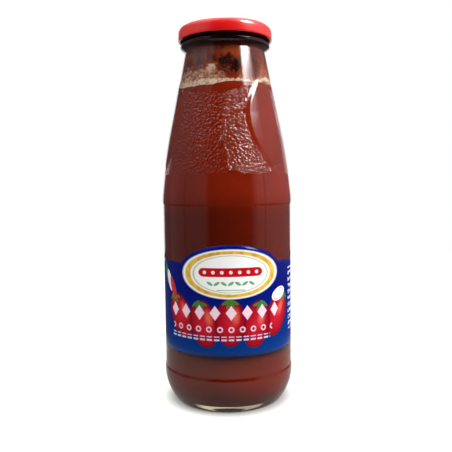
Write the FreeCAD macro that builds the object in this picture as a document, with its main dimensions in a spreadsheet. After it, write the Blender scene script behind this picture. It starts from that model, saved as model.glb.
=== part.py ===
"""A twist-off glass bottle of tomato passata: bottle, contents, lid and paper label.

The origin is the centre of the foot, on the surface the bottle stands on. +Z is up
and the front of the label faces -Y. Sizes are in millimetres.
"""
import FreeCAD, Part
import math
import os
import re
import Sketcher

SIZES = [
    # The glass body
    ("bottle_height", 225.0),       # foot to mouth
    ("body_radius", 39.1),          # recessed label panel
    ("ring_depth", 0.4),            # how far both guard rings stand out from the panel
    ("ring_step", 1.1),             # height over which a ring runs back into the panel
    ("heel_inset", 6.8),            # from the heel ring in to the foot
    ("bearing_width", 4.2),         # of the ring that the bottle stands on
    ("punt_depth", 3.2),
    ("heel_height", 19.0),          # foot to the widest line of the heel
    ("heel_ring_width", 1.8),
    ("shoulder_height", 123.6),     # foot to the top of the shoulder ring
    ("shoulder_ring_width", 3.0),
    ("shoulder_curve", 360.0),      # radius of the long curve between ring and cone
    ("cone_height", 172.0),         # where that curve becomes the straight cone
    ("cone_inset", 7.2),            # from the label panel in to the cone's start
    # The neck and the finish under the lid
    ("finish_height", 14.4),        # top of the neck to the mouth
    ("neck_radius", 24.2),
    ("bead_reach", 2.8),            # how far the transfer bead stands out from the neck
    ("bead_slope", 2.6),            # height of the bead's lower face
    ("bead_width", 1.7),
    ("bead_shoulder", 1.0),
    ("finish_reach", 1.0),          # how far the finish's wall stands out from the neck
    ("mouth_rounding", 0.8),
    # The wall
    ("wall", 2.4),
    ("floor_thickness", 3.4),       # glass over the middle of the punt
    ("floor_rise", 2.0),            # how far the floor's middle stands above its edge
    ("floor_inset", 8.0),           # from the inside of the wall in to the floor's edge
    ("foot_rounding", 1.5),
    ("bead_rounding", 0.6),
    # The contents
    ("headspace", 35.0),            # mouth down to the level
    # The lid
    ("lid_wall", 0.5),
    ("skirt_clearance", 2.7),       # between the finish and the inside of the lid's skirt
    ("lid_gap", 1.3),               # from the bead's top to the lid's rolled edge
    ("curl_width", 1.4),
    ("curl_height", 1.5),
    ("curl_rounding", 0.6),
    ("lid_rounding", 4.0),
    ("panel_clearance", 1.6),       # between the mouth and the sunk middle of the lid
    ("panel_depth", 1.0),
    ("button_radius", 10.0),
    ("button_height", 0.4),
    # The label
    ("label_thickness", 0.15),
    ("label_clearance", 13.0),      # from the heel ring's step to the label's lower edge
    ("label_height", 52.6),
    ("arch_rise", 10.7),            # how far the front arch stands above the label's top
    ("arch_half_width", 27.3),      # of the arch where it meets that top
    ("arch_roundness", 16.4),       # half the height of the ellipse that the arch is cut from
    ("seam_gap", 8.0),              # bare strip at the back
]

ALIASES = {name for name, value in SIZES}

doc = FreeCAD.newDocument("passata_bottle")


def make_sheet():
    """The driving dimensions, one to a row: name, number."""
    cells = doc.addObject("Spreadsheet::Sheet", "sizes")
    for row, (name, value) in enumerate(SIZES, start=1):
        cells.set(f"A{row}", name)
        cells.set(f"B{row}", str(value))
        cells.setAlias(f"B{row}", name)
    doc.recompute()
    return cells


sheet = make_sheet()


def bound(text):
    """The text with each size's name pointed at the sheet, as setExpression wants it."""
    words = re.split(r"([a-z_]+)", text)
    return "".join("sizes." + word if word in ALIASES else word for word in words)


def value_of(text):
    """The number that a formula of sizes gives."""
    return float(sheet.evalExpression(bound(text)))


def bind(owner, prop, text):
    owner.setExpression(prop, bound(text))


# Heights and radii that several pieces share, as formulas of the sizes.
RING_RADIUS = "(body_radius + ring_depth)"
FOOT_RADIUS = f"({RING_RADIUS} - heel_inset)"
BEARING_RADIUS = f"({FOOT_RADIUS} - bearing_width)"
CONE_RADIUS = "(body_radius - cone_inset)"
BEAD_RADIUS = "(neck_radius + bead_reach)"
FINISH_RADIUS = "(neck_radius + finish_reach)"
INNER_RADIUS = "(body_radius - wall)"
FLOOR_RADIUS = f"({INNER_RADIUS} - floor_inset)"
MOUTH_RADIUS = "(neck_radius - wall)"
LID_RADIUS = f"({FINISH_RADIUS} + skirt_clearance + lid_wall)"
FLOOR_TOP = "(punt_depth + floor_thickness)"
LEDGE_HEIGHT = "(heel_height + heel_ring_width + ring_step)"
PANEL_TOP = "(shoulder_height - shoulder_ring_width - ring_step)"
NECK_HEIGHT = "(bottle_height - finish_height)"
BEAD_LOWER = f"({NECK_HEIGHT} + bead_slope)"
BEAD_UPPER = f"({BEAD_LOWER} + bead_width)"
BEAD_TOP = f"({BEAD_UPPER} + bead_shoulder)"
FILL_HEIGHT = "(bottle_height - headspace)"


def plane_of(body, role):
    """The body's own origin plane with this role."""
    return next(item for item in body.Origin.OriginFeatures if item.Role == role)


def arc_through(start, end, radius, bulge):
    """An arc from start to end; bulge is +1 where it bows to the right of that way."""
    (x1, y1), (x2, y2) = start, end
    half = math.hypot(x2 - x1, y2 - y1) / 2
    along = ((x2 - x1) / (2 * half), (y2 - y1) / (2 * half))
    right = (along[1] * bulge, -along[0] * bulge)
    sagitta = radius - math.sqrt(radius * radius - half * half)
    middle = ((x1 + x2) / 2 + right[0] * sagitta, (y1 + y2) / 2 + right[1] * sagitta)
    points = [FreeCAD.Vector(x, y, 0) for x, y in (start, middle, end)]
    return Part.Arc(*points)


def draw_outline(body, name, corners):
    """A closed sketch on the body's XZ plane.

    Each corner is (radius, height, edge): formulas of the sizes, and the edge to the next
    corner, None for a straight one or (arc radius, bulge). Every corner is held by its two
    distances from the axis and the foot, and every arc by its radius.
    """
    sketch = body.newObject("Sketcher::SketchObject", name)
    sketch.AttachmentSupport = (plane_of(body, "XZ_Plane"), [""])
    sketch.MapMode = "FlatFace"
    places = [(value_of(radius), value_of(height)) for radius, height, edge in corners]
    starts = []
    for index, (radius, height, edge) in enumerate(corners):
        start = places[index]
        end = places[(index + 1) % len(corners)]
        if edge is None:
            line = Part.LineSegment(FreeCAD.Vector(*start, 0), FreeCAD.Vector(*end, 0))
            sketch.addGeometry(line)
            starts.append((1, 2))
        else:
            arc = arc_through(start, end, value_of(edge[0]), edge[1])
            sketch.addGeometry(arc)
            forward = sketch.getPoint(index, 1).distanceToPoint(FreeCAD.Vector(*start, 0)) < 1e-6
            starts.append((1, 2) if forward else (2, 1))
    for index, (radius, height, edge) in enumerate(corners):
        after = (index + 1) % len(corners)
        sketch.addConstraint(Sketcher.Constraint(
            "Coincident", index, starts[index][1], after, starts[after][0]))
    for index, (radius, height, edge) in enumerate(corners):
        point = starts[index][0]
        hold(sketch, "DistanceX", -2, index, point, radius)
        hold(sketch, "DistanceY", -1, index, point, height)
        if edge is not None:
            number = sketch.addConstraint(Sketcher.Constraint("Radius", index, value_of(edge[0])))
            bind(sketch, f"Constraints[{number}]", edge[0])
    return sketch


def hold(sketch, kind, axis, edge, point, formula):
    """Hold one end of an edge at a distance from the origin, or on the axis when it is 0."""
    if formula == "0":
        sketch.addConstraint(Sketcher.Constraint("PointOnObject", edge, point, axis))
        return
    number = sketch.addConstraint(
        Sketcher.Constraint(kind, -1, 1, edge, point, value_of(formula)))
    bind(sketch, f"Constraints[{number}]", formula)


def revolve(body, sketch, name):
    """A full turn of the sketch about the upright axis."""
    turned = body.newObject("PartDesign::Revolution", name)
    turned.Profile = sketch
    turned.ReferenceAxis = (sketch, ["V_Axis"])
    turned.Angle = 360
    sketch.Visibility = False
    doc.recompute()
    return turned


def circles_at(feature, places):
    """Names of the feature's round edges that lie at these (radius, height) formulas."""
    wanted = [(value_of(radius), value_of(height)) for radius, height in places]
    names = []
    for number, edge in enumerate(feature.Shape.Edges, start=1):
        if edge.Degenerated or not isinstance(edge.Curve, Part.Circle):
            continue
        size = (edge.Curve.Radius, edge.Curve.Center.z)
        if any(math.dist(size, place) < 1e-3 for place in wanted):
            names.append(f"Edge{number}")
    return names


def round_off(body, base, name, places, formula):
    """Fillet the round edges at these places."""
    fillet = body.newObject("PartDesign::Fillet", name)
    fillet.Base = (base, circles_at(base, places))
    bind(fillet, "Radius", formula)
    doc.recompute()
    return fillet


def inner_corners():
    """The inside of the glass, from the middle of the floor out and up to the mouth."""
    floor_edge = f"({FLOOR_TOP} - floor_rise)"
    floor_curve = f"({FLOOR_RADIUS}^2 + floor_rise^2) / (2 * floor_rise)"
    climb = f"(heel_height - {floor_edge})"
    heel_curve = f"(floor_inset^2 + {climb}^2) / (2 * floor_inset)"
    return [
        ("0", FLOOR_TOP, (floor_curve, -1)),
        (FLOOR_RADIUS, floor_edge, (heel_curve, 1)),
        (INNER_RADIUS, "heel_height", None),
        (INNER_RADIUS, "shoulder_height", ("shoulder_curve - wall", 1)),
        (f"{CONE_RADIUS} - wall", "cone_height", None),
        (MOUTH_RADIUS, NECK_HEIGHT, None),
        (MOUTH_RADIUS, "bottle_height", None),
    ]


def outer_corners():
    """The outside of the glass, from the middle of the punt up to the mouth."""
    punt_curve = f"({BEARING_RADIUS}^2 + punt_depth^2) / (2 * punt_depth)"
    heel_curve = "(heel_inset^2 + heel_height^2) / (2 * heel_inset)"
    return [
        ("0", "punt_depth", (punt_curve, -1)),
        (BEARING_RADIUS, "0", None),
        (FOOT_RADIUS, "0", (heel_curve, 1)),
        (RING_RADIUS, "heel_height", None),
        (RING_RADIUS, "heel_height + heel_ring_width", None),
        ("body_radius", LEDGE_HEIGHT, None),
        ("body_radius", PANEL_TOP, None),
        (RING_RADIUS, f"{PANEL_TOP} + ring_step", None),
        (RING_RADIUS, "shoulder_height", ("shoulder_curve", 1)),
        (CONE_RADIUS, "cone_height", None),
        ("neck_radius", NECK_HEIGHT, None),
        (BEAD_RADIUS, BEAD_LOWER, None),
        (BEAD_RADIUS, BEAD_UPPER, None),
        (FINISH_RADIUS, BEAD_TOP, None),
        (FINISH_RADIUS, "bottle_height", None),
    ]


def make_bottle():
    """The glass: one wall turned from its outside and its inside."""
    body = doc.addObject("PartDesign::Body", "bottle")
    corners = outer_corners() + reversed_corners(inner_corners())
    wall = revolve(body, draw_outline(body, "bottle_outline", corners), "bottle_wall")
    mouth = [(FINISH_RADIUS, "bottle_height"), (MOUTH_RADIUS, "bottle_height")]
    wall = round_off(body, wall, "mouth_fillet", mouth, "mouth_rounding")
    foot = [(FOOT_RADIUS, "0"), (BEARING_RADIUS, "0")]
    wall = round_off(body, wall, "foot_fillet", foot, "foot_rounding")
    bead = [(BEAD_RADIUS, BEAD_LOWER), (BEAD_RADIUS, BEAD_UPPER)]
    round_off(body, wall, "bead_fillet", bead, "bead_rounding")
    return body


def reversed_corners(corners):
    """The same outline walked the other way, so each edge goes to the corner before it."""
    edges = [edge for radius, height, edge in corners]
    turned = []
    for index in range(len(corners) - 1, -1, -1):
        edge = edges[index - 1] if index else None
        if edge is not None:
            edge = (edge[0], -edge[1])
        radius, height = corners[index][:2]
        turned.append((radius, height, edge))
    return turned


def make_passata():
    """The contents: all that the glass can hold, less what is above the level."""
    body = doc.addObject("PartDesign::Body", "passata")
    corners = inner_corners() + [("0", "bottle_height", None)]
    revolve(body, draw_outline(body, "passata_outline", corners), "passata_fill")
    above = [
        ("0", FILL_HEIGHT, None),
        (RING_RADIUS, FILL_HEIGHT, None),
        (RING_RADIUS, "bottle_height + wall", None),
        ("0", "bottle_height + wall", None),
    ]
    level = body.newObject("PartDesign::Groove", "passata_level")
    level.Profile = draw_outline(body, "headspace_outline", above)
    level.ReferenceAxis = (level.Profile[0], ["V_Axis"])
    level.Angle = 360
    return body


def make_lid():
    """The pressed steel lid: it lies on the mouth, with its rolled edge above the bead."""
    body = doc.addObject("PartDesign::Body", "lid")
    top = "(bottle_height + lid_wall)"
    rim = f"({BEAD_TOP} + lid_gap)"
    panel_edge = f"({MOUTH_RADIUS} - panel_clearance / 2)"
    panel_radius = f"({MOUTH_RADIUS} - panel_clearance)"
    upper_panel = f"({top} - panel_depth)"
    lower_panel = "(bottle_height - panel_depth)"
    button_edge = "button_radius + button_height"
    inside_radius = f"({LID_RADIUS} - lid_wall)"
    curl_radius = f"({LID_RADIUS} - curl_width)"
    corners = [
        ("0", f"{lower_panel} + button_height", None),
        ("button_radius", f"{lower_panel} + button_height", None),
        (button_edge, lower_panel, None),
        (panel_radius, lower_panel, None),
        (panel_edge, "bottle_height", None),
        (inside_radius, "bottle_height", None),
        (inside_radius, f"{rim} + curl_height", None),
        (curl_radius, f"{rim} + curl_height", None),
        (curl_radius, rim, None),
        (LID_RADIUS, rim, None),
        (LID_RADIUS, top, None),
        (panel_edge, top, None),
        (panel_radius, upper_panel, None),
        (button_edge, upper_panel, None),
        ("button_radius", f"{upper_panel} + button_height", None),
        ("0", f"{upper_panel} + button_height", None),
    ]
    shell = revolve(body, draw_outline(body, "lid_outline", corners), "lid_shell")
    shell = round_off(body, shell, "lid_outer_fillet", [(LID_RADIUS, top)], "lid_rounding")
    inner_edge = [(inside_radius, "bottle_height")]
    shell = round_off(body, shell, "lid_inner_fillet", inner_edge, "lid_rounding - lid_wall")
    curl = [(LID_RADIUS, rim), (curl_radius, rim), (curl_radius, f"{rim} + curl_height")]
    round_off(body, shell, "curl_fillet", curl, "curl_rounding")
    return body


def add_part(kind, name, places=None, **formulas):
    """A Part primitive with its sizes bound to the sheet."""
    item = doc.addObject(kind, name)
    for prop, formula in formulas.items():
        bind(item, prop, formula)
    for axis, formula in (places or {}).items():
        bind(item, f".Placement.Base.{axis}", formula)
    return item


def join(kind, name, base, tool):
    item = doc.addObject(kind, name)
    item.Base = base
    item.Tool = tool
    return item


def make_label():
    """The paper label: a sleeve cut to a band with an arch at the front, open at the back."""
    lower = f"({LEDGE_HEIGHT} + label_clearance)"
    band_top = f"{lower} + label_height"
    full_height = "label_height + arch_rise"
    outside = "(body_radius + label_thickness)"
    outer = add_part("Part::Cylinder", "label_outside", {"z": lower},
                     Radius=outside, Height=full_height)
    inner = add_part("Part::Cylinder", "label_inside", {"z": lower},
                     Radius="body_radius", Height=full_height)
    sleeve = join("Part::Cut", "label_sleeve", outer, inner)

    span = f"2 * {outside}"
    band = add_part("Part::Box", "label_band", {"x": f"-1 * {outside}",
                                                "y": f"-1 * {outside}", "z": lower},
                    Length=span, Width=span, Height="label_height")
    # The arch is the top of an ellipse whose centre lies below the top edge of the band.
    drop = "(arch_roundness - arch_rise)"
    ellipse = doc.addObject("Part::Ellipse", "arch_ellipse")
    bind(ellipse, "MinorRadius", "arch_roundness")
    bind(ellipse, "MajorRadius",
         f"arch_half_width / sqrt(1 - ({drop} / arch_roundness) ^ 2)")
    ellipse.Placement.Rotation = FreeCAD.Rotation(FreeCAD.Vector(1, 0, 0), 90)
    bind(ellipse, ".Placement.Base.z", f"{band_top} - {drop}")
    arch = doc.addObject("Part::Extrusion", "label_arch")
    arch.Base = ellipse
    arch.DirMode = "Custom"
    arch.Dir = FreeCAD.Vector(0, -1, 0)
    bind(arch, "LengthFwd", outside)
    arch.Solid = True
    outline = join("Part::Fuse", "label_outline", band, arch)
    shaped = join("Part::Common", "label_wrap", sleeve, outline)
    seam = add_part("Part::Box", "label_seam", {"x": "-1 * seam_gap / 2", "z": lower},
                    Length="seam_gap", Width=outside, Height="label_height")
    return join("Part::Cut", "label", shaped, seam)


def check_and_export(parts):
    """Stop on any failed object, then write one STEP file for each sub-part."""
    doc.recompute()
    for item in doc.Objects:
        if "Invalid" in item.State or "Error" in item.State:
            raise RuntimeError(f"{item.Name} is in state {item.State}")
    os.makedirs("parts", exist_ok=True)
    for item in parts:
        shape = item.Shape
        if shape.isNull() or not shape.isValid() or len(shape.Solids) != 1:
            raise RuntimeError(f"{item.Label} isn't one valid solid")
        print(item.Label, "volume", round(shape.Volume), "box", shape.BoundBox)
    for item in parts:
        item.Shape.exportStep(f"parts/{item.Label}.step")


check_and_export([make_bottle(), make_passata(), make_lid(), make_label()])
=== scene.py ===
"""A bottle of tomato passata: the looks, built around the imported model."""
import math

import bmesh
import bpy
from mathutils import Matrix, Vector, noise


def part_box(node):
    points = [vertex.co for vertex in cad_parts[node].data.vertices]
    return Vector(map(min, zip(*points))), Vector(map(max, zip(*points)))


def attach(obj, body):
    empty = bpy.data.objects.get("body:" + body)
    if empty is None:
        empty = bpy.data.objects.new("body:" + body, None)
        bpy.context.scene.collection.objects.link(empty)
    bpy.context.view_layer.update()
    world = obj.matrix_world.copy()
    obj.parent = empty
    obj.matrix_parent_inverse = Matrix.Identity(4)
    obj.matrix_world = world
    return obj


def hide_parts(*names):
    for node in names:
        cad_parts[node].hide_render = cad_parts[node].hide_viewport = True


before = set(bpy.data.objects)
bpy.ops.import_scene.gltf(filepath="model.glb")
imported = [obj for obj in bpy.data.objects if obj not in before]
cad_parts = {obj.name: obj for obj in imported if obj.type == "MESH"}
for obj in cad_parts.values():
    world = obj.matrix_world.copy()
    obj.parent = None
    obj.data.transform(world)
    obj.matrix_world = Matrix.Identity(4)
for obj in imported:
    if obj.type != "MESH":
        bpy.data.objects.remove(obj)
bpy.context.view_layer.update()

# ---------------------------------------------------------------- sizes, in millimetres

MM = 0.001


def box_mm(node):
    """The lowest and highest corner of a node of the frame, in millimetres."""
    low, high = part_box(node)
    return low / MM, high / MM


BOTTLE_HIGH = box_mm("bottle")[1]
PASSATA_LOW, PASSATA_HIGH = box_mm("passata")
LID_LOW, LID_HIGH = box_mm("lid")
LABEL_LOW, LABEL_HIGH = box_mm("label")

MOUTH = BOTTLE_HIGH.z
RING_RADIUS = BOTTLE_HIGH.x
INNER_RADIUS = PASSATA_HIGH.x
WALL = 2.4
PANEL_RADIUS = INNER_RADIUS + WALL
LEVEL = PASSATA_HIGH.z
FLOOR_EDGE = PASSATA_LOW.z
FLOOR_RISE = 2.0
FLOOR_RADIUS = INNER_RADIUS - 8.0
PUNT = 3.2
FOOT_RADIUS = RING_RADIUS - 6.8
BEARING_RADIUS = FOOT_RADIUS - 4.2
HEEL = 19.0
LEDGE = HEEL + 1.8
RING_STEP = 1.1
SHOULDER = 123.6
SHOULDER_RING = 3.0
SHOULDER_CURVE = 360.0
CONE = 172.0
CONE_RADIUS = PANEL_RADIUS - 7.2
NECK = MOUTH - 14.4
NECK_RADIUS = 24.2
BEAD_RADIUS = NECK_RADIUS + 2.8
FINISH_RADIUS = NECK_RADIUS + 1.0
BEAD_LOW = NECK + 2.6
BEAD_HIGH = BEAD_LOW + 1.7
FINISH_LOW = BEAD_HIGH + 1.0
MOUTH_RADIUS = NECK_RADIUS - WALL

LID_RADIUS = LID_HIGH.x
LID_TOP = LID_HIGH.z
LID_RIM = LID_LOW.z

TURN_STEPS = 360                    # faces round the glass
EMBED = 0.06                        # how far the contents reach into the wall
PAINTED_SHADE_LOW = 112.0                 # painted shade darkens the contents below this
PAINTED_SHADE_HIGH = 128.0                # and leaves them unshaded above this
HEEL_GLOW_LOW = 20.0                # light off the table brightens them again below this
HEEL_GLOW_HIGH = 36.0

# Leaf-shaped panels and the pebbled ground between them, on the cone
LEAF_TURN = 41.5                    # degrees from the label's front to a leaf's middle
LEAF_COUNT = 3
LEAF_MIDDLE = 167.0
LEAF_HALF_HEIGHT = 27.5
LEAF_HALF_WIDTH = 13.6
LEAF_RAISE = 0.42
LEAF_EDGE = 3.0
PEBBLE_LOW = 137.0
PEBBLE_HIGH = 184.0
PEBBLE_SAG = 9.0                    # how much higher the pebbles reach beside a leaf's tip
PEBBLE_SIZE = 1.4                   # real grains are about 1 mm: these are coarse enough to show
PEBBLE_HEIGHT = 0.015               # relief in the mesh
PEBBLE_BUMP = 0.68                  # relief added by the shader
STIPPLE_LOW = 0.2                   # the glass is frosted below this, where it stands
STIPPLE_HIGH = 0.6                  # and clear above this

# Spots on the inside of the neck: turn in degrees, height, radius, raggedness, colour
# The near-black spots near the front are painted shade: the dark inside of the bottle, where the coat
# has a gap
SMEAR_AND_SHADE_PATCHES = [
    (-42, 206, 5.5, 5.0, "#5E3A38"), (-85, 203, 6.0, 6.0, "#6A3424"), (-16, 208, 3.5, 4.0, "#6A2614"),
    (8, 207, 5.0, 6.0, "#7E3414"), (-40, 201, 2.2, 3.0, "#4A343E"), (5, 200, 5.6, 6.0, "#5A2418"),
    (-3, 201, 3.4, 6.0, "#200604"), (9, 199.5, 3.8, 7.0, "#1A0404"), (3, 202.5, 2.4, 5.0, "#240805"),
    (-20, 198, 2.4, 6.0, "#B09884"),
]
# How far the froth's haze climbs the glass above the level: (turn, millimetres)
HAZE_REACH = [(-180, 2), (-100, 3), (-75, 7.5), (-50, 9), (-22, 9), (-10, 4), (6, 2.2), (34, 2.5),
              (52, 5), (72, 6), (95, 3), (180, 2)]

# ---------------------------------------------------------------- small tools


def colour(code):
    """Linear red, green, blue and 1 from an sRGB hex value."""
    parts = [int(code[i:i + 2], 16) / 255 for i in (1, 3, 5)]
    linear = [c / 12.92 if c <= 0.04045 else ((c + 0.055) / 1.055) ** 2.4 for c in parts]
    return (*linear, 1.0)


def smooth(low, high, value):
    """0 below low, 1 above high, and an even ease between."""
    t = min(1.0, max(0.0, (value - low) / (high - low)))
    return t * t * (3 - 2 * t)


def arc_points(start, end, radius, bulge, count):
    """Points on an arc after start, up to and with end; bulge +1 bows right of the way."""
    (x1, y1), (x2, y2) = start, end
    half = math.hypot(x2 - x1, y2 - y1) / 2
    along = ((x2 - x1) / (2 * half), (y2 - y1) / (2 * half))
    depth = math.sqrt(radius * radius - half * half)
    centre = ((x1 + x2) / 2 - along[1] * bulge * depth, (y1 + y2) / 2 + along[0] * bulge * depth)
    first = math.atan2(y1 - centre[1], x1 - centre[0])
    sweep = 2 * math.asin(half / radius) * bulge
    return [(centre[0] + radius * math.cos(first + sweep * i / count),
             centre[1] + radius * math.sin(first + sweep * i / count))
            for i in range(1, count + 1)]


def rounded(corners, steps=5):
    """Points along an outline whose corners are (radius, height, rounding)."""
    points = []
    for i, (x, y, rounding) in enumerate(corners):
        if rounding == 0 or i in (0, len(corners) - 1):
            points.append((x, y))
            continue
        here = Vector((x, y))
        before = (Vector(corners[i - 1][:2]) - here).normalized()
        after = (Vector(corners[i + 1][:2]) - here).normalized()
        half = before.angle(after) / 2
        reach = rounding / math.tan(half)
        start, end = here + before * reach, here + after * reach
        turn = 1 if before.cross(after) < 0 else -1
        points.append(tuple(start))
        points += arc_points(tuple(start), tuple(end), rounding, turn, steps)
    return points


def spaced(points, step):
    """The same line with no stretch longer than step."""
    line = [points[0]]
    for (x1, y1), (x2, y2) in zip(points, points[1:]):
        count = max(1, math.ceil(math.hypot(x2 - x1, y2 - y1) / step))
        line += [(x1 + (x2 - x1) * i / count, y1 + (y2 - y1) * i / count)
                 for i in range(1, count + 1)]
    return line


def turned(points, closed, steps=TURN_STEPS):
    """A mesh in millimetres: the outline turned once about the upright axis."""
    bm = bmesh.new()
    verts = [bm.verts.new((x, 0, y)) for x, y in points]
    pairs = list(zip(verts, verts[1:]))
    if closed:
        pairs.append((verts[-1], verts[0]))
    edges = [bm.edges.new(pair) for pair in pairs]
    bmesh.ops.spin(bm, geom=verts + edges, cent=(0, 0, 0), axis=(0, 0, 1),
                   angle=2 * math.pi, steps=steps, use_merge=True)
    bmesh.ops.remove_doubles(bm, verts=bm.verts, dist=1e-4)
    bmesh.ops.recalc_face_normals(bm, faces=bm.faces)
    return bm


def place_mesh(bm, name, material):
    """An object in the scene, in metres, from a mesh in millimetres."""
    bmesh.ops.scale(bm, vec=(MM, MM, MM), verts=bm.verts)
    mesh = bpy.data.meshes.new(name)
    bm.to_mesh(mesh)
    bm.free()
    mesh.materials.append(material)
    placed = bpy.data.objects.new(name, mesh)
    bpy.context.scene.collection.objects.link(placed)
    return placed


def finish_piece(bm, name, material, node=None):
    """A smooth piece of the object, which stands for a node of the frame if one is named."""
    piece = place_mesh(bm, name, material)
    piece.data.polygons.foreach_set("use_smooth", [True] * len(piece.data.polygons))
    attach(piece, "root")
    if node:
        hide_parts(node)
    return piece


# ---------------------------------------------------------------- materials


def new_material(name):
    """An empty material and its node tree."""
    material = bpy.data.materials.new(name)
    material.use_nodes = True
    material.node_tree.nodes.clear()
    return material, material.node_tree


def add(tree, kind, links=None, **settings):
    """A node of this kind: settings are its properties or sockets, links feed its sockets."""
    node = tree.nodes.new(kind)
    inputs = settings.pop("inputs", {})
    for key, value in settings.items():
        setattr(node, key, value)
    for key, value in inputs.items():
        node.inputs[key].default_value = value
    for key, source in (links or {}).items():
        tree.links.new(source, node.inputs[key])
    return node


def ramp(tree, source, stops):
    """A colour ramp: stops are (place, colour code)."""
    node = add(tree, "ShaderNodeValToRGB", {"Fac": source})
    elements = node.color_ramp.elements
    while len(elements) < len(stops):
        elements.new(0.5)
    for element, (place, code) in zip(elements, stops):
        element.position = place
        element.color = colour(code)
    return node.outputs["Color"]


def combine(tree, how, first, second=None):
    """Two values, or a value and a number, put together by a maths node."""
    node = add(tree, "ShaderNodeMath", operation=how)
    for socket, value in zip(node.inputs, (first, second)):
        if isinstance(value, (int, float)):
            socket.default_value = value
        elif value is not None:
            tree.links.new(value, socket)
    return node.outputs[0]


def eased(tree, value, low, high):
    """0 to 1 as a value rises from low to high; 1 to 0 if low is the higher."""
    node = add(tree, "ShaderNodeMapRange", {"Value": value},
               interpolation_type="SMOOTHSTEP", inputs={"From Min": low, "From Max": high})
    return node.outputs["Result"]


def cloudy(tree, place, size, detail=2.0, distortion=0.0):
    """Even noise from 0 to 1 whose features are about size millimetres across."""
    node = add(tree, "ShaderNodeTexNoise", {"Vector": place},
               inputs={"Scale": 1 / (size * MM), "Detail": detail, "Distortion": distortion})
    return node.outputs["Fac"]


def paint(tree, under, mask, over):
    """One colour over another where the mask is 1; each is a hex code or a socket."""
    node = add(tree, "ShaderNodeMix", data_type="RGBA")
    tree.links.new(mask, node.inputs[0])
    for socket, value in ((node.inputs[6], under), (node.inputs[7], over)):
        if isinstance(value, str):
            socket.default_value = colour(value)
        else:
            tree.links.new(value, socket)
    return node.outputs[2]


def level_by(tree, value, span, levels):
    """A number that follows (place, level) pairs as a value runs over the span."""
    share = add(tree, "ShaderNodeMapRange", {"Value": value},
                inputs={"From Min": span[0], "From Max": span[1]})
    node = add(tree, "ShaderNodeValToRGB", {"Fac": share.outputs["Result"]})
    elements = node.color_ramp.elements
    while len(elements) < len(levels):
        elements.new(0.5)
    top = max(level for place, level in levels)
    for element, (place, level) in zip(elements, levels):
        element.position = (place - span[0]) / (span[1] - span[0])
        element.color = (level / top, level / top, level / top, 1)
    return combine(tree, "MULTIPLY", node.outputs["Color"], top)


def turn_and_lift(tree, vector):
    """Turn in degrees from the label's front, and height, of a place or a direction."""
    way = add(tree, "ShaderNodeSeparateXYZ", {0: vector})
    ahead = combine(tree, "MULTIPLY", way.outputs["Y"], -1.0)
    turn = combine(tree, "ARCTAN2", way.outputs["X"], ahead)
    return combine(tree, "MULTIPLY", turn, 180 / math.pi), way.outputs["Z"]


def bottle_glass():
    """Flint glass, pressed and blown: clear, hard and faintly uneven, olive only where it is thick."""
    material, tree = new_material("flint_glass_blown")
    place = add(tree, "ShaderNodeTexCoord").outputs["Object"]
    wave = add(tree, "ShaderNodeBump", {"Height": cloudy(tree, place, 14, 1.0)},
               inputs={"Strength": 0.25, "Distance": 0.25 * MM})
    cells = add(tree, "ShaderNodeTexVoronoi", {"Vector": place}, feature="SMOOTH_F1",
                inputs={"Scale": 1 / (PEBBLE_SIZE * MM), "Smoothness": 0.45})
    grain = combine(tree, "SUBTRACT", 0.45, cells.outputs["Distance"])
    ground = add(tree, "ShaderNodeAttribute", attribute_name="pebbled")
    relief = combine(tree, "MULTIPLY", grain, ground.outputs["Fac"])
    pebbles = add(tree, "ShaderNodeBump", {"Height": relief, "Normal": wave.outputs["Normal"]},
                  inputs={"Strength": 1.0, "Distance": PEBBLE_BUMP * MM})
    height = add(tree, "ShaderNodeSeparateXYZ", {0: place}).outputs["Z"]
    standing = eased(tree, height, STIPPLE_HIGH * MM, STIPPLE_LOW * MM)
    stipple = combine(tree, "MULTIPLY", standing, 0.6)
    glass = add(tree, "ShaderNodeBsdfPrincipled",
                {"Normal": pebbles.outputs["Normal"],
                 "Roughness": combine(tree, "ADD", stipple, 0.02)},
                inputs={"Base Color": colour("#F4F8F4"), "Transmission Weight": 1.0, "IOR": 1.52})
    clear = add(tree, "ShaderNodeBsdfTransparent", inputs={"Color": colour("#F0F4F1")})
    path = add(tree, "ShaderNodeLightPath")
    mix = add(tree, "ShaderNodeMixShader", {0: path.outputs["Is Shadow Ray"],
                                            1: glass.outputs["BSDF"], 2: clear.outputs["BSDF"]})
    olive = add(tree, "ShaderNodeVolumeAbsorption",
                inputs={"Color": colour("#E4DED0"), "Density": 55.0})
    add(tree, "ShaderNodeOutputMaterial",
        {"Surface": mix.outputs["Shader"], "Volume": olive.outputs["Volume"]})
    return material


def tomato_pulp(name, dark, light, speck_and_shade):
    """Sieved tomato, cooked: smooth and dense, with fine pulp and darker specks; painted shade darkens
    it towards the bottom, and painted light off the table lifts it near the heel.
    """
    material, tree = new_material(name)
    place = add(tree, "ShaderNodeTexCoord").outputs["Object"]
    body = ramp(tree, cloudy(tree, place, 22, 3.0), [(0.35, dark), (0.65, light)])
    height = add(tree, "ShaderNodeSeparateXYZ", {0: place}).outputs["Z"]
    # Painted shade, in the specks' colour: darker towards the bottom, less so near the heel, where
    # painted light off the table lifts it
    painted_shade = combine(tree, "MULTIPLY",
                      eased(tree, height, PAINTED_SHADE_HIGH * MM, PAINTED_SHADE_LOW * MM), 0.80)
    lit = combine(tree, "MULTIPLY",
                  eased(tree, height, HEEL_GLOW_HIGH * MM, HEEL_GLOW_LOW * MM), 0.40)
    body = paint(tree, body, combine(tree, "SUBTRACT", painted_shade, lit), speck_and_shade)
    specks = eased(tree, cloudy(tree, place, 0.9), 0.64, 0.72)
    pulp = add(tree, "ShaderNodeBsdfPrincipled", {"Base Color": paint(tree, body, specks, speck_and_shade)},
               inputs={"Roughness": 0.6, "Specular IOR Level": 0.0})
    add(tree, "ShaderNodeOutputMaterial", {"Surface": pulp.outputs["BSDF"]})
    return material


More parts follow.
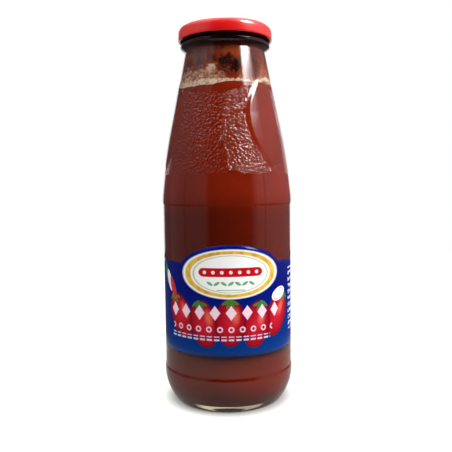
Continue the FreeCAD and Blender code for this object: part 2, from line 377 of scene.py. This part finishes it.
def patch(tree, place, turn, height, size, edge):
    """1 in a ragged spot on the wall of the neck, 0 off it."""
    radius = inner_radius_at(height)
    a = math.radians(turn)
    gap = add(tree, "ShaderNodeVectorMath", {0: place}, operation="DISTANCE")
    gap.inputs[1].default_value = (radius * math.sin(a) * MM, -radius * math.cos(a) * MM,
                                   height * MM)
    coarse = combine(tree, "MULTIPLY", cloudy(tree, place, 5.0, 2.0, 1.0), edge * MM)
    fine = combine(tree, "MULTIPLY", cloudy(tree, place, 1.3, 4.0), edge * 0.8 * MM)
    reach = combine(tree, "ADD", gap.outputs["Value"], combine(tree, "ADD", coarse, fine))
    middle = size + edge * 0.9
    return eased(tree, reach, (middle + 1.3) * MM, (middle - 1.3) * MM)


def smear_film(name):
    """Passata left on the inside of the neck: patchy, brown where it dried, with near-black painted
    shade where it has gaps and painted shade behind the bead.
    """
    material, tree = new_material(name)
    place = add(tree, "ShaderNodeTexCoord").outputs["Object"]
    turn, height = turn_and_lift(tree, place)
    body = ramp(tree, cloudy(tree, place, 8, 4.0, 0.6),
                [(0.32, "#2E0A05"), (0.46, "#5A1C0A"), (0.58, "#6E2810"), (0.75, "#8A5038")])
    # Patches of the coat; the near-black ones are painted shade, the dark inside seen through gaps in
    # the coat
    for spot_turn, spot_height, size, edge, code in SMEAR_AND_SHADE_PATCHES:
        body = paint(tree, body, patch(tree, place, spot_turn, spot_height, size, edge), code)
    flecks = eased(tree, cloudy(tree, place, 0.8, 3.0), 0.60, 0.68)
    body = paint(tree, body, combine(tree, "MULTIPLY", flecks, 0.55), "#3A120C")

    # Fresh passata in a ragged line just over the level
    ragged = combine(tree, "MULTIPLY", cloudy(tree, place, 2.6, 3.0, 0.8), 9 * MM)
    above = combine(tree, "SUBTRACT", height, ragged)
    fresh = eased(tree, above, (LEVEL - 1.0) * MM, (LEVEL - 2.6) * MM)
    body = paint(tree, body, fresh, "#6A1A06")

    # The froth's pale haze, which climbs as far as its reach at that turn
    climb = combine(tree, "SUBTRACT", height, LEVEL * MM)
    climb = combine(tree, "SUBTRACT", climb,
                    combine(tree, "MULTIPLY", level_by(tree, turn, (-180, 180), HAZE_REACH), MM))
    drift = combine(tree, "SUBTRACT", cloudy(tree, place, 3.5, 5.0, 1.2), 0.5)
    climb = combine(tree, "ADD", climb, combine(tree, "MULTIPLY", drift, 14 * MM))
    haze = eased(tree, climb, 1.6 * MM, -4.4 * MM)
    haze = combine(tree, "MULTIPLY", haze, eased(tree, cloudy(tree, place, 1.3, 4.0), 0.05, 0.75))
    pale = ramp(tree, cloudy(tree, place, 2.4, 3.0),
                [(0.36, "#7A4E40"), (0.50, "#9E7A68"), (0.64, "#C0A292")])
    body = paint(tree, body, haze, pale)

    # Dark behind the bead, where the lid keeps the light out
    shade = eased(tree, height, (NECK - 4.5) * MM, (NECK + 2.5) * MM)
    body = paint(tree, body, shade, "#2A0406")
    pulp = add(tree, "ShaderNodeBsdfPrincipled", {"Base Color": body},
               inputs={"Roughness": 0.6, "Specular IOR Level": 0.0})
    add(tree, "ShaderNodeOutputMaterial", {"Surface": pulp.outputs["BSDF"]})
    return material


def foam(name):
    """Froth of air and tomato fat that rises to the level: pale, with small open bubbles."""
    material, tree = new_material(name)
    place = add(tree, "ShaderNodeTexCoord").outputs["Object"]
    cells = add(tree, "ShaderNodeTexVoronoi", {"Vector": place}, inputs={"Scale": 1 / (0.9 * MM)})
    both = combine(tree, "MULTIPLY", cells.outputs["Distance"], cloudy(tree, place, 3.5, 4.0))
    body = ramp(tree, both,
                [(0.02, "#8A6252"), (0.08, "#A88C7A"), (0.22, "#CCB6A4"), (0.38, "#927262")])
    skin = add(tree, "ShaderNodeBump", {"Height": cells.outputs["Distance"]},
               inputs={"Strength": 0.5, "Distance": 0.3 * MM})
    froth = add(tree, "ShaderNodeBsdfPrincipled",
                {"Base Color": body, "Normal": skin.outputs["Normal"]},
                inputs={"Roughness": 0.6, "Specular IOR Level": 0.0})
    add(tree, "ShaderNodeOutputMaterial", {"Surface": froth.outputs["BSDF"]})
    return material


def lid_lacquer(name, code):
    """Tinplate with stoved enamel: even red under a glassy coat with a trace of orange peel."""
    material, tree = new_material(name)
    place = add(tree, "ShaderNodeTexCoord").outputs["Object"]
    peel = add(tree, "ShaderNodeTexNoise", {"Vector": place},
               inputs={"Scale": 1 / (1.2 * MM), "Detail": 1.0})
    skin = add(tree, "ShaderNodeBump", {"Height": peel.outputs["Fac"]},
               inputs={"Strength": 0.12, "Distance": 0.05 * MM})
    enamel = add(tree, "ShaderNodeBsdfPrincipled", {"Normal": skin.outputs["Normal"]},
                 inputs={"Base Color": colour(code), "Roughness": 0.32,
                         "Coat Weight": 1.0, "Coat Roughness": 0.06, "Coat IOR": 1.6})
    add(tree, "ShaderNodeOutputMaterial", {"Surface": enamel.outputs["BSDF"]})
    return material


# ---------------------------------------------------------------- the glass


def sagitta_radius(width, depth):
    """Radius of the arc that rises by depth over half its chord, width."""
    return (width * width + depth * depth) / (2 * depth)


def inside_outline(grow=0.0):
    """The inside of the glass from the middle of the floor to the neck, grown outwards."""
    radius = INNER_RADIUS + grow
    middle = (0.0, FLOOR_EDGE + FLOOR_RISE - grow)
    edge = (FLOOR_RADIUS, FLOOR_EDGE - grow)
    inset = radius - FLOOR_RADIUS
    climb = HEEL - edge[1]
    points = [middle]
    points += arc_points(middle, edge, sagitta_radius(FLOOR_RADIUS, FLOOR_RISE), -1, 8)
    points += arc_points(edge, (radius, HEEL), (inset ** 2 + climb ** 2) / (2 * inset), 1, 10)
    points.append((radius, SHOULDER))
    points += arc_points(points[-1], (CONE_RADIUS - WALL + grow, CONE),
                         SHOULDER_CURVE - WALL + grow, 1, 12)
    points.append((MOUTH_RADIUS + grow, NECK))
    return points


def outside_outline():
    """The outside of the glass from the middle of the punt to the mouth."""
    punt_edge = (BEARING_RADIUS, 0.0)
    points = [(0.0, PUNT)]
    points += arc_points(points[0], (BEARING_RADIUS - 1.0, 0.35),
                         sagitta_radius(BEARING_RADIUS, PUNT), -1, 8)
    points += [(BEARING_RADIUS, 0.06), (BEARING_RADIUS + 1.0, 0.0), (FOOT_RADIUS - 1.2, 0.0)]
    points += [(FOOT_RADIUS - 0.2, 0.16), (FOOT_RADIUS + 0.5, 0.75)]
    inset = RING_RADIUS - FOOT_RADIUS
    heel_curve = (inset ** 2 + HEEL ** 2) / (2 * inset)
    heel = arc_points((FOOT_RADIUS, 0.0), (RING_RADIUS, HEEL), heel_curve, 1, 18)
    points += heel[1:]
    panel_top = SHOULDER - SHOULDER_RING - RING_STEP
    points += rounded([
        (RING_RADIUS, HEEL, 0), (RING_RADIUS, LEDGE, 2.6),
        (PANEL_RADIUS, LEDGE + RING_STEP, 2.6), (PANEL_RADIUS, panel_top, 2.6),
        (RING_RADIUS, panel_top + RING_STEP, 2.6), (RING_RADIUS, SHOULDER, 0)])[1:]
    shoulder = arc_points((RING_RADIUS, SHOULDER), (CONE_RADIUS, CONE), SHOULDER_CURVE, 1, 40)
    cone = shoulder + [(NECK_RADIUS, NECK)]
    low = [p for p in shoulder if p[1] < PEBBLE_LOW - 1]
    points += low
    points += spaced([low[-1]] + cone[len(low):], 0.62)[1:]
    points += rounded([
        (NECK_RADIUS, NECK, 0), (BEAD_RADIUS, BEAD_LOW, 0.6), (BEAD_RADIUS, BEAD_HIGH, 0.6),
        (FINISH_RADIUS, FINISH_LOW, 0), (FINISH_RADIUS, MOUTH, 0.8),
        (MOUTH_RADIUS, MOUTH, 0.8), (MOUTH_RADIUS, NECK, 0)], 4)[1:]
    return points


def leaf_depth(angle, height, radius):
    """How far inside the nearest leaf's edge a place on the cone lies; negative outside."""
    pitch = 360 / LEAF_COUNT
    off = (angle - LEAF_TURN + pitch / 2) % pitch - pitch / 2
    across = abs(math.radians(off)) * radius
    along = (height - LEAF_MIDDLE) / LEAF_HALF_HEIGHT
    half_width = LEAF_HALF_WIDTH * (1 - along * along)
    slope = 2 * LEAF_HALF_WIDTH * abs(along) / LEAF_HALF_HEIGHT
    return (half_width - across) / math.hypot(1, slope)


def pebble_share(angle, height, radius):
    """1 on the pebbled ground, 0 off it."""
    pitch = 360 / LEAF_COUNT
    off = (angle - LEAF_TURN) % pitch - pitch / 2
    top = PEBBLE_HIGH + PEBBLE_SAG * (off / (pitch / 2)) ** 2
    inside = smooth(PEBBLE_LOW, PEBBLE_LOW + 2, height) * (1 - smooth(top - 2, top, height))
    return inside * (1 - smooth(-1.2, 0.0, leaf_depth(angle, height, radius)))


def cone_radius_at(height):
    """Radius of the glass's outside between the shoulder ring and the neck."""
    if height > CONE:
        return CONE_RADIUS + (NECK_RADIUS - CONE_RADIUS) * (height - CONE) / (NECK - CONE)
    share = (height - SHOULDER) / (CONE - SHOULDER)
    chord = RING_RADIUS + (CONE_RADIUS - RING_RADIUS) * share
    span = math.hypot(CONE - SHOULDER, RING_RADIUS - CONE_RADIUS)
    return chord + span * span * share * (1 - share) / (2 * SHOULDER_CURVE)


def make_glass():
    """The glass: turned, then its leaves and pebbles raised on the cone."""
    outline = outside_outline() + inside_outline()[::-1][1:]
    bm = turned(outline, closed=False)
    pebbled = bm.verts.layers.float.new("pebbled")
    for vert in bm.verts:
        height = vert.co.z
        radius = math.hypot(vert.co.x, vert.co.y)
        if not PEBBLE_LOW - 2 < height < NECK - 2 or radius < cone_radius_at(height) - 1:
            continue
        angle = math.degrees(math.atan2(vert.co.x, -vert.co.y))
        raised = LEAF_RAISE * smooth(0, LEAF_EDGE, leaf_depth(angle, height, radius))
        share = pebble_share(angle, height, radius)
        vert[pebbled] = share
        if share > 0:
            distances, places = noise.voronoi(vert.co / PEBBLE_SIZE)
            raised += share * PEBBLE_HEIGHT * (0.53 - distances[0]) * 2
        vert.co.x *= (radius + raised) / radius
        vert.co.y *= (radius + raised) / radius
    return finish_piece(bm, "bottle_glass_wall", bottle_glass(), "bottle")


# ---------------------------------------------------------------- the contents


def make_passata():
    """The contents up to the level, just into the wall, so that no gap shows."""
    outline = [p for p in inside_outline(EMBED) if p[1] < LEVEL]
    share = (LEVEL - CONE) / (NECK - CONE)
    top = CONE_RADIUS - WALL + EMBED - (CONE_RADIUS - NECK_RADIUS) * share
    outline = spaced(outline + [(top, LEVEL)], 4.0) + spaced([(top, LEVEL), (0.0, LEVEL)], 2.0)[1:]
    bm = turned(outline, closed=False, steps=180)
    pulp = tomato_pulp("tomato_passata", "#641606", "#701A08", "#4A1004")
    return finish_piece(bm, "passata_fill", pulp, "passata")


def inner_radius_at(height):
    """Radius of the inside of the glass, from the cone up to the mouth."""
    if height >= NECK:
        return MOUTH_RADIUS
    share = (height - CONE) / (NECK - CONE)
    return CONE_RADIUS - WALL + (MOUTH_RADIUS - CONE_RADIUS + WALL) * share


def make_smear():
    """A thin coat of passata on the inside of the neck, from the level up to the mouth."""
    low = LEVEL - 0.6
    high = MOUTH - 1.0
    thick = 0.35
    reach = EMBED + 0.03
    outer = spaced([(inner_radius_at(low) + reach, low), (MOUTH_RADIUS + reach, NECK),
                    (MOUTH_RADIUS + reach, high)], 1.2)
    inner = [(radius - thick, height) for radius, height in outer]
    bm = turned(outer + inner[::-1], closed=True, steps=180)
    return finish_piece(bm, "passata_smear", smear_film("tomato_smear"))


def froth_span(angle):
    """Lower and upper edge of the froth at this turn from the label's front."""
    spot = Vector((math.sin(math.radians(angle)), math.cos(math.radians(angle)), 0.3))
    ragged = noise.fractal(spot * 14, 0.6, 2.0, 5)
    wave = noise.noise(spot * 3)
    left = smooth(-95, -60, angle) * (1 - smooth(-25, 5, angle))
    right = smooth(35, 62, angle) * (1 - smooth(85, 110, angle))
    low = LEVEL - 0.4 - 1.9 * left + 1.6 * right - 0.35 * ragged
    torn = noise.fractal(spot * 45, 0.5, 2.0, 3)
    height = 1.2 + 0.8 * wave + 2.2 * left + 0.8 * right + 1.0 * ragged + 0.9 * torn
    return low + 0.3 * torn, low + max(0.35, height)


def make_froth():
    """The froth: it clings to the glass and thins out towards the middle."""
    rows = 8
    depth = 3.5
    reach = EMBED + 0.07
    wall = [(0.0, i / rows) for i in range(rows + 1)]
    crest = [(-depth * t, 1.0 - t * t) for t in (0.15, 0.4, 0.7, 1.0)]
    outline = [(INNER_RADIUS + x, y) for x, y in wall + crest]
    bm = turned(outline, closed=True, steps=720)
    for vert in bm.verts:
        angle = math.degrees(math.atan2(vert.co.x, -vert.co.y))
        low, high = froth_span(angle)
        radius = math.hypot(vert.co.x, vert.co.y)
        height = low + (high - low) * vert.co.z
        scale = (inner_radius_at(height) + reach + radius - INNER_RADIUS) / radius
        vert.co = (vert.co.x * scale, vert.co.y * scale, height)
    return finish_piece(bm, "froth_ring", foam("tomato_froth"))


# ---------------------------------------------------------------- the lid


def make_lid():
    """One pressed shell: a button in a sunk panel, a round shoulder, and a curl at the rim."""
    wall = 0.5
    curl = 1.4
    curl_top = LID_RIM + 1.5
    button = 10.0
    sunk = LID_TOP - 1.0
    panel = MOUTH_RADIUS - 1.6
    crown = MOUTH_RADIUS - 0.8
    outline = [
        (0.0, sunk + 0.4, 0), (button, sunk + 0.4, 0.5), (button + 0.6, sunk, 0.5),
        (panel, sunk, 0.6), (crown, LID_TOP, 0.5), (LID_RADIUS, LID_TOP, 4.0),
        (LID_RADIUS, LID_RIM, 0.7), (LID_RADIUS - curl, LID_RIM, 0.65),
        (LID_RADIUS - curl, curl_top, 0.6), (LID_RADIUS - wall, curl_top, 0.2),
        (LID_RADIUS - wall, LID_TOP - wall, 3.5), (crown, LID_TOP - wall, 0.4),
        (panel, sunk - wall, 0.5), (0.0, sunk - wall, 0)]
    bm = turned(rounded(outline, 6), closed=False, steps=240)
    enamel = lid_lacquer("tinplate_red_enamel", "#CC0604")
    return finish_piece(bm, "lid_tinplate", enamel, "lid")


# ---------------------------------------------------------------- the label


LABEL_RADIUS = PANEL_RADIUS + 0.02
LABEL_THICK = 0.11
LABEL_BOTTOM = LABEL_LOW.z
LABEL_BAND = 52.6
ARCH_HALF_WIDTH = LABEL_RADIUS * math.asin(27.3 / LABEL_RADIUS)
ARCH_RISE = LABEL_HIGH.z - LABEL_LOW.z - LABEL_BAND
ARCH_ROUNDNESS = 16.4
SEAM = 8.0
LABEL_HALF = math.pi * LABEL_RADIUS - SEAM / 2
PRINT_SPAN = 2 * LABEL_HALF
# Tomatoes on the label: along it from the front, up from its lower edge, lean in degrees
PRINTED_TOMATOES = [(-32, 22, 26), (30, 22, -28), (-16, 18.5, 12), (15, 18, -12), (-0.5, 19.5, 0)]


def label_top(across):
    """Height of the label's upper edge, above its lower one, at a place along it."""
    drop = ARCH_ROUNDNESS - ARCH_RISE
    half = ARCH_HALF_WIDTH / math.sqrt(1 - (drop / ARCH_ROUNDNESS) ** 2)
    if abs(across) >= ARCH_HALF_WIDTH:
        return LABEL_BAND
    return LABEL_BAND - drop + ARCH_ROUNDNESS * math.sqrt(1 - (across / half) ** 2)


def oval(tree, place, across, up, half_width, half_height, tilt=0.0):
    """Distance from the middle of an oval on the label: 1 on its edge."""
    node = add(tree, "ShaderNodeMapping", {"Vector": place}, vector_type="TEXTURE",
               inputs={"Location": (across, up, 0.0), "Rotation": (0.0, 0.0, math.radians(tilt)),
                       "Scale": (half_width, half_height, 1.0)})
    return add(tree, "ShaderNodeVectorMath", {0: node.outputs["Vector"]},
               operation="LENGTH").outputs["Value"]


def within(tree, value, limit, soft=0.03):
    """1 where a value is under its limit, 0 over it."""
    return eased(tree, value, limit + soft, limit - soft)


def between(tree, value, low, high, soft=0.12):
    """1 where a value lies between two limits."""
    return combine(tree, "MULTIPLY", eased(tree, value, low - soft, low + soft),
                   eased(tree, value, high + soft, high - soft))


def box_mask(tree, across, up, left, right, low, high):
    """1 in an upright rectangle of the label."""
    return combine(tree, "MULTIPLY", between(tree, across, left, right),
                   between(tree, up, low, high))


def print_tomato(tree, ink, place, across, up, tilt):
    """A plum tomato with a lit side, a shaded edge and a green calyx."""
    lean = math.radians(tilt)
    body = oval(tree, place, across, up, 8.6, 13.6, tilt)
    skin = ramp(tree, combine(tree, "MULTIPLY", body, 0.9),
                [(0.0, "#A81A2C"), (0.5, "#960E20"), (0.8, "#7C0818"), (0.9, "#560614")])
    ink = paint(tree, ink, within(tree, body, 1.0), skin)
    glow = oval(tree, place, across + 3.0, up + 3.6, 3.4, 7.0, tilt)
    ink = paint(tree, ink, combine(tree, "MULTIPLY", eased(tree, glow, 1.0, 0.0), 0.7), "#CC6450")
    for turn in (-62, -22, 22, 62):
        leaf = math.radians(turn)
        x = across - 12.8 * math.sin(lean) + 2.4 * math.sin(leaf)
        y = up + 12.8 * math.cos(lean) - 2.4 * math.cos(leaf)
        sepal = oval(tree, place, x, y, 0.8, 2.9, turn + tilt)
        ink = paint(tree, ink, within(tree, sepal, 1.0, 0.1), "#2E6A2C")
    return ink


def label_paper():
    """Coated label paper, offset printed and varnished."""
    material, tree = new_material("coated_paper_printed")
    print_map = add(tree, "ShaderNodeUVMap", uv_map="print").outputs["UV"]
    place = add(tree, "ShaderNodeMapping", {"Vector": print_map},
                inputs={"Location": (-PRINT_SPAN / 2, 0.0, 0.0),
                        "Scale": (PRINT_SPAN, PRINT_SPAN, 1.0)}).outputs["Vector"]
    spread = add(tree, "ShaderNodeSeparateXYZ", {0: place})
    across, up = spread.outputs["X"], spread.outputs["Y"]
    ink = ramp(tree, combine(tree, "MULTIPLY", up, 1 / LABEL_BAND),
               [(0.0, "#002C68"), (0.3, "#001E68"), (0.7, "#000C60"), (1.0, "#00085A")])
    for tomato in PRINTED_TOMATOES:
        ink = print_tomato(tree, ink, place, *tomato)

    # Rows of plain pale shapes
    step = combine(tree, "PINGPONG", across, 4.6)
    side = combine(tree, "MULTIPLY", step, 1 / 3.1)
    rise = combine(tree, "ABSOLUTE", combine(tree, "SUBTRACT", up, 25.0))
    rise = combine(tree, "MULTIPLY", rise, 1 / 4.2)
    lozenge = within(tree, combine(tree, "ADD", side, rise), 1.0, 0.06)
    row = combine(tree, "MULTIPLY", lozenge, between(tree, across, -41.4, 32.2))
    ink = paint(tree, ink, row, "#D0B4C4")
    ring = combine(tree, "PINGPONG", across, 3.2)
    dot = add(tree, "ShaderNodeCombineXYZ", {"X": ring, "Y": combine(tree, "SUBTRACT", up, 15.6)})
    dot = add(tree, "ShaderNodeVectorMath", {0: dot.outputs[0]}, operation="LENGTH")
    beads = between(tree, dot.outputs["Value"], 0.9, 1.7)
    beads = combine(tree, "MULTIPLY", beads, between(tree, across, -38.4, 25.6))
    ink = paint(tree, ink, beads, "#C8A8B8")
    dash = between(tree, combine(tree, "PINGPONG", across, 2.1), 0.0, 1.5)
    for low, high in ((9.2, 10.2), (11.2, 11.8)):
        rule = combine(tree, "MULTIPLY", dash, box_mask(tree, across, up, -40, 24, low, high))
        ink = paint(tree, ink, rule, "#A8A8C8")

    # The oval panel with its two rings
    badge = oval(tree, place, 0.0, 46.9, 29.6, 13.9)
    gold = ramp(tree, add(tree, "ShaderNodeTexNoise", {"Vector": place},
                          inputs={"Scale": 0.25}).outputs["Fac"],
                [(0.35, "#AC8428"), (0.55, "#C8A03C"), (0.7, "#B4A458")])
    ink = paint(tree, ink, within(tree, badge, 1.0), "#D8D8DA")
    ink = paint(tree, ink, between(tree, badge, 0.81, 0.94, 0.02), gold)
    ink = paint(tree, ink, between(tree, badge, 0.73, 0.76, 0.015), "#96A062")
    band = combine(tree, "MULTIPLY", between(tree, across, -15.5, 15.5),
                   between(tree, up, 45.4, 50.4))
    for side_of in (-1, 1):
        end = oval(tree, place, side_of * 15.5, 47.9, 3.2, 2.5)
        band = combine(tree, "MAXIMUM", band, within(tree, end, 1.0, 0.06))
    ink = paint(tree, ink, band, "#A80E1A")
    for x in range(-15, 16, 5):
        spot = oval(tree, place, x, 47.9, 1.0, 1.0)
        ink = paint(tree, ink, within(tree, spot, 1.0, 0.15), "#DCC8C8")
    for x in range(-12, 13, 4):
        leaf = oval(tree, place, x, 41.6, 0.8, 1.9, 60 if x % 8 else 120)
        ink = paint(tree, ink, within(tree, leaf, 1.0, 0.15), "#5E9468")
    ink = paint(tree, ink, box_mask(tree, across, up, -8, 8, 37.6, 38.2), "#7EA684")

    # A small oval at the right, a slanting ribbon at the left, and short dashes beyond
    tag = oval(tree, place, 31.5, 33.5, 6.0, 3.6, 20)
    ink = paint(tree, ink, within(tree, tag, 1.0, 0.05), "#DCD8DC")
    ink = paint(tree, ink, between(tree, tag, 0.72, 0.82, 0.03), "#B05A6A")
    for x, code in ((-47.4, "#1C7440"), (-43.2, "#D4D4D8"), (-39.0, "#A82A30")):
        ribbon = oval(tree, place, x, 41.0 - (x + 43.2) * 0.9, 2.3, 6.6, 24)
        ink = paint(tree, ink, within(tree, ribbon, 1.0, 0.08), code)
    lines = between(tree, combine(tree, "PINGPONG", up, 1.9), 0.9, 1.9)
    uneven = add(tree, "ShaderNodeTexNoise", {"Vector": place}, inputs={"Scale": 0.55})
    lines = combine(tree, "MULTIPLY", lines, eased(tree, uneven.outputs["Fac"], 0.44, 0.52))
    column = combine(tree, "MULTIPLY", lines, box_mask(tree, across, up, 43.5, 58.0, 9.5, 47.5))
    ink = paint(tree, ink, column, "#C8D0EC")

    fibre = add(tree, "ShaderNodeTexNoise", {"Vector": place}, inputs={"Scale": 1.2, "Detail": 4.0})
    skin = add(tree, "ShaderNodeBump", {"Height": fibre.outputs["Fac"]},
               inputs={"Strength": 0.15, "Distance": 0.05 * MM})
    paper = add(tree, "ShaderNodeBsdfPrincipled",
                {"Base Color": ink, "Normal": skin.outputs["Normal"]},
                inputs={"Roughness": 0.16, "Specular IOR Level": 0.14})
    add(tree, "ShaderNodeOutputMaterial", {"Surface": paper.outputs["BSDF"]})
    return material


def make_label():
    columns = 320
    rows = 24
    bm = bmesh.new()
    layer = bm.loops.layers.uv.new("print")
    bmesh.ops.create_grid(bm, x_segments=columns, y_segments=rows, size=1, calc_uvs=False)
    flat = {}
    for vert in bm.verts:
        across = vert.co.x * LABEL_HALF
        up = (vert.co.y + 1) / 2 * label_top(across)
        flat[vert] = (across, up)
    for face in bm.faces:
        for loop in face.loops:
            across, up = flat[loop.vert]
            loop[layer].uv = (across / PRINT_SPAN + 0.5, up / PRINT_SPAN)
    for vert, (across, up) in flat.items():
        turn = across / LABEL_RADIUS
        vert.co = (LABEL_RADIUS * math.sin(turn), -LABEL_RADIUS * math.cos(turn), up + LABEL_BOTTOM)
    bmesh.ops.recalc_face_normals(bm, faces=bm.faces)
    bmesh.ops.solidify(bm, geom=bm.faces[:], thickness=LABEL_THICK)
    return finish_piece(bm, "label_wrap", label_paper(), "label")


# ---------------------------------------------------------------- stage, lamps and camera

TABLE_FRONT = 200.0                 # from the bottle's axis to the front of the table
TABLE_HALF = 450.0                  # half the table's side
TABLE_GAP = 0.05                    # keeps the table's face apart from the foot's
SHEEN_NEAR = 135.0                  # the glass mirrors the table brightly up to here from the axis
SHEEN_FAR = 170.0                   # and darkly beyond this
SHADOW_REACH = 6.0                  # how far the shadow of the foot reaches over the table
LAMP_DISTANCE = 0.9                 # metres, from the middle of the bottle
LAMP_SIDE = 0.6                     # metres
LAMP_AIM = 0.12                     # metres above the table
CAMERA_DISTANCE = 0.341             # metres, from the bottle's axis
CAMERA_HEIGHT = 0.1312              # metres above the table
CAMERA_TURN = math.radians(-2.6)
CAMERA_PITCH = math.radians(4.25)
CAMERA_ROLL = math.radians(-0.66)
CAMERA_LENS = 43.8
CAMERA_SHIFT = -0.0024


def white_table():
    """Matt white laminate: white to the eye, with a soft shadow close round the foot.

    It is duller in reflections and through the glass, so that it doesn't veil the contents.
    """
    material, tree = new_material("white_laminate_matt")
    path = add(tree, "ShaderNodeLightPath")
    reach = add(tree, "ShaderNodeVectorMath",
                {0: add(tree, "ShaderNodeTexCoord").outputs["Object"]}, operation="LENGTH")
    near = eased(tree, reach.outputs["Value"], SHEEN_FAR * MM, SHEEN_NEAR * MM)
    sheen = paint(tree, "#3C3A36", near, "#6C6862")
    tone = paint(tree, "#BAB6AE", path.outputs["Is Camera Ray"], "#787876")
    tone = paint(tree, tone, path.outputs["Is Glossy Ray"], sheen)
    tone = paint(tree, tone, path.outputs["Is Transmission Ray"], "#3E3830")
    top = add(tree, "ShaderNodeBsdfDiffuse", {"Color": tone})
    open_sky = add(tree, "ShaderNodeAmbientOcclusion", samples=8,
                   inputs={"Distance": SHADOW_REACH * MM})
    seen = combine(tree, "MULTIPLY", path.outputs["Is Camera Ray"], open_sky.outputs["AO"])
    mirrored = combine(tree, "MULTIPLY", path.outputs["Is Glossy Ray"],
                       combine(tree, "MULTIPLY", near, 0.32))
    glow = add(tree, "ShaderNodeEmission", {"Strength": combine(tree, "ADD", seen, mirrored)},
               inputs={"Color": colour("#E8E7E4")})
    both = add(tree, "ShaderNodeAddShader", {0: top.outputs["BSDF"], 1: glow.outputs["Emission"]})
    add(tree, "ShaderNodeOutputMaterial", {"Surface": both.outputs["Shader"]})
    return material


def make_stage():
    """A white table that ends shortly in front of the bottle."""
    bm = bmesh.new()
    bmesh.ops.create_grid(bm, x_segments=1, y_segments=1, size=TABLE_HALF)
    bmesh.ops.translate(bm, vec=(0, TABLE_HALF - TABLE_FRONT, -TABLE_GAP), verts=bm.verts)
    place_mesh(bm, "table_top", white_table())


def add_lamp(name, turn, lift, watts):
    """A soft square lamp that faces the bottle, turn degrees right of the label."""
    data = bpy.data.lights.new(name, "AREA")
    data.size = LAMP_SIDE
    data.energy = watts
    lamp = bpy.data.objects.new(name, data)
    around = math.radians(turn)
    up = math.radians(lift)
    back = Vector((math.sin(around) * math.cos(up), -math.cos(around) * math.cos(up), math.sin(up)))
    lamp.location = Vector((0, 0, LAMP_AIM)) + back * LAMP_DISTANCE
    lamp.rotation_euler = back.to_track_quat("Z", "Y").to_euler()
    lamp.visible_glossy = False
    bpy.context.scene.collection.objects.link(lamp)


# Brightness round the studio: (degrees from the label's front, level)
ROUND_LEVELS = [
    (-180, 1.0), (-160, 1.0), (-152, 0.10), (-124, 0.14), (-120, 0.24), (-84, 0.24), (-82, 0.05),
    (-80, 0.24), (-42, 0.24), (-33, 0.015), (40, 0.015), (55, 0.42), (66, 0.5), (68, 0.12),
    (70, 0.5), (90, 0.45), (120, 0.28), (150, 0.15), (158, 1.0), (180, 1.0)]
# How it grows with height on each side: (degrees of lift, level)
RIGHT_LIFT = [(-40, 0.4), (-10, 0.8), (0, 1.0), (12, 1.3), (25, 1.7), (40, 2.2), (60, 3.0), (90, 3.0)]
LEFT_LIFT = [(-40, 0.5), (0, 1.0), (30, 1.1), (37, 3.0), (60, 4.0), (90, 4.0)]
# A bright window high on the right, as the product of its spread round and its spread up
LAMP_TURN = [(30, 0.0), (42, 0.02), (50, 1.0), (68, 1.0), (80, 0.0)]
LAMP_LIFT = [(18, 0.0), (25, 0.03), (30, 0.2), (33, 1.0), (46, 1.0), (56, 0.0)]
LAMP_LEVEL = 30.0


def make_world():
    """A white studio: white behind, a tall screen at each side, dark where the camera is."""
    world = bpy.data.worlds.new("studio")
    world.use_nodes = True
    bpy.context.scene.world = world
    tree = world.node_tree
    tree.nodes.clear()
    turn, rise = turn_and_lift(tree, add(tree, "ShaderNodeTexCoord").outputs["Generated"])
    lift = combine(tree, "MULTIPLY", combine(tree, "ARCSINE", rise), 180 / math.pi)
    round_level = level_by(tree, turn, (-180, 180), ROUND_LEVELS)
    on_right = eased(tree, turn, -5, 5)
    rise_right = level_by(tree, lift, (-90, 90), RIGHT_LIFT)
    rise_left = level_by(tree, lift, (-90, 90), LEFT_LIFT)
    rise_both = combine(tree, "ADD", combine(tree, "MULTIPLY", on_right, rise_right),
                        combine(tree, "MULTIPLY", eased(tree, turn, 5, -5), rise_left))
    total = combine(tree, "MULTIPLY", round_level, rise_both)
    hot = combine(tree, "MULTIPLY", level_by(tree, turn, (-180, 180), LAMP_TURN),
                  level_by(tree, lift, (-90, 90), LAMP_LIFT))
    total = combine(tree, "ADD", total, combine(tree, "MULTIPLY", hot, LAMP_LEVEL))
    total = combine(tree, "ADD", total, combine(tree, "MULTIPLY", eased(tree, lift, 45, 70), 0.8))
    path = add(tree, "ShaderNodeLightPath")
    unseen = combine(tree, "SUBTRACT", 1.0, path.outputs["Is Camera Ray"])
    level = combine(tree, "ADD", combine(tree, "MULTIPLY", total, unseen),
                    path.outputs["Is Camera Ray"])
    sky = add(tree, "ShaderNodeBackground", {"Strength": level}, inputs={"Color": (1, 1, 1, 1)})
    add(tree, "ShaderNodeOutputWorld", {"Surface": sky.outputs["Background"]})


def make_lamps():
    """Fills that light the bottle evenly and don't show in the glass."""
    add_lamp("front_fill", 0, 50, 3.6)
    add_lamp("left_fill", -75, 25, 4)
    add_lamp("right_fill", 95, 12, 5)


def make_camera():
    """Just above the middle of the bottle, close in front and tipped a little down."""
    data = bpy.data.cameras.new("camera")
    data.lens = CAMERA_LENS
    data.clip_start = 0.01
    data.shift_x = CAMERA_SHIFT
    camera = bpy.data.objects.new("camera", data)
    camera.location = (CAMERA_DISTANCE * math.sin(CAMERA_TURN),
                       -CAMERA_DISTANCE * math.cos(CAMERA_TURN), CAMERA_HEIGHT)
    look = Matrix.Rotation(CAMERA_TURN, 4, "Z") @ Matrix.Rotation(math.pi / 2 - CAMERA_PITCH, 4, "X")
    camera.rotation_euler = (look @ Matrix.Rotation(CAMERA_ROLL, 4, "Z")).to_euler()
    bpy.context.scene.collection.objects.link(camera)
    bpy.context.scene.camera = camera


make_glass()
make_passata()
make_smear()
make_froth()
make_lid()
make_label()
make_stage()
make_world()
make_lamps()
make_camera()
bpy.context.scene.view_settings.view_transform = "Standard"
